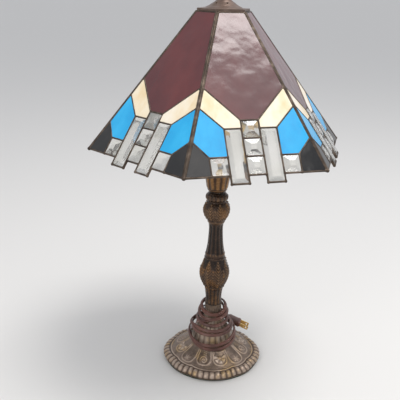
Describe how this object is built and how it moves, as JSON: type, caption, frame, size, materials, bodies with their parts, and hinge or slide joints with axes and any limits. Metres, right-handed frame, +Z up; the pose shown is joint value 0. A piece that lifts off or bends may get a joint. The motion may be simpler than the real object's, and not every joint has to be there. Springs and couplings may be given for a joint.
{
  "type": "leaded glass table lamp",
  "caption": "Table lamp with a six-sided leaded stained-glass shade with bevelled clear pieces, on a cast bronze-finished pedestal, with its cord wound round the foot.",
  "frame": {"origin": "centre of the underside, on the lamp's axis", "axes": "+Z up the pedestal to the finial; one shade panel faces -Y"},
  "size_m": [0.4088, 0.3686, 0.6455],
  "materials": {
    "lead_came": "dark bronze patina on solder",
    "maroon_glass": "glossy streaky cathedral glass",
    "cream_glass": "opalescent glass with caramel streaks",
    "blue_glass": "opalescent glass",
    "black_glass": "glossy rippled opaque glass",
    "bevelled_clear_glass": "polished clear bevels",
    "cap_bronze": "antique bronze patina",
    "brass": "satin",
    "liner_board": "matte insulating liner",
    "black_phenolic": "moulded",
    "bulb_white": "soft white coating",
    "bulb_cap_metal": "plain",
    "golden_bronze": "golden bronze with dark recesses",
    "dark_bronze": "dark antique bronze with gilt highlights",
    "base_bronze": "worn grey-brown bronze with gilt highlights",
    "zinc_steel": "zinc plated",
    "felt": "wool felt",
    "cord_vinyl": "brown vinyl with a slight sheen",
    "blade_brass": "bright"
  },
  "bodies": {
    "stand": {"riser_pipe": "brass", "shade_seat_nut": "brass", "light_cluster": "brass", "socket_shell_1": "brass", "socket_shell_2": "brass", "socket_liners": "liner_board", "bulb_glass": "bulb_white", "bulb_caps": "bulb_cap_metal", "neck_cup": "golden_bronze", "upper_column": "dark_bronze", "lower_column": "dark_bronze", "base_casting": "base_bronze", "base_nut_and_washer": "zinc_steel", "felt_pad": "felt", "cord_bushing": "black_phenolic", "cord_tail": "cord_vinyl", "cord_coil": "cord_vinyl", "plug_body": "cord_vinyl", "plug_blades": "blade_brass"},
    "shade": {"came_lattice_1": "lead_came", "came_lattice_2": "lead_came", "came_lattice_3": "lead_came", "came_lattice_4": "lead_came", "came_lattice_5": "lead_came", "came_lattice_6": "lead_came", "maroon_glass_1": "maroon_glass", "maroon_glass_2": "maroon_glass", "maroon_glass_3": "maroon_glass", "maroon_glass_4": "maroon_glass", "maroon_glass_5": "maroon_glass", "maroon_glass_6": "maroon_glass", "cream_glass_1": "cream_glass", "cream_glass_2": "cream_glass", "cream_glass_3": "cream_glass", "cream_glass_4": "cream_glass", "cream_glass_5": "cream_glass", "cream_glass_6": "cream_glass", "blue_glass_1": "blue_glass", "blue_glass_2": "blue_glass", "blue_glass_3": "blue_glass", "blue_glass_4": "blue_glass", "blue_glass_5": "blue_glass", "blue_glass_6": "blue_glass", "black_glass_1": "black_glass", "black_glass_2": "black_glass", "black_glass_3": "black_glass", "black_glass_4": "black_glass", "black_glass_5": "black_glass", "black_glass_6": "black_glass", "bevel_glass_1": "bevelled_clear_glass", "bevel_glass_2": "bevelled_clear_glass", "bevel_glass_3": "bevelled_clear_glass", "bevel_glass_4": "bevelled_clear_glass", "bevel_glass_5": "bevelled_clear_glass", "bevel_glass_6": "bevelled_clear_glass", "ridge_seams": "lead_came", "vase_cap": "cap_bronze"},
    "finial": {"finial": "cap_bronze"},
    "switch_knob_1": {"switch_knob_1": "black_phenolic"},
    "switch_knob_2": {"switch_knob_2": "black_phenolic"}
  },
  "joints": [
    {"name": "shade_turn", "type": "hinge", "parent": "stand", "child": "shade", "pos_m": [0, 0, 0.585], "axis": [0, 0, 1], "continuous": true},
    {"name": "finial_turn", "type": "hinge", "parent": "stand", "child": "finial", "pos_m": [0, 0, 0.61], "axis": [0, 0, 1], "continuous": true},
    {"name": "switch_knob_1_turn", "type": "hinge", "parent": "stand", "child": "switch_knob_1", "pos_m": [0.042, 0, 0.39], "axis": [0, 0, -1], "continuous": true},
    {"name": "switch_knob_2_turn", "type": "hinge", "parent": "stand", "child": "switch_knob_2", "pos_m": [-0.042, 0, 0.39], "axis": [0, 0, -1], "continuous": true}
  ]
}
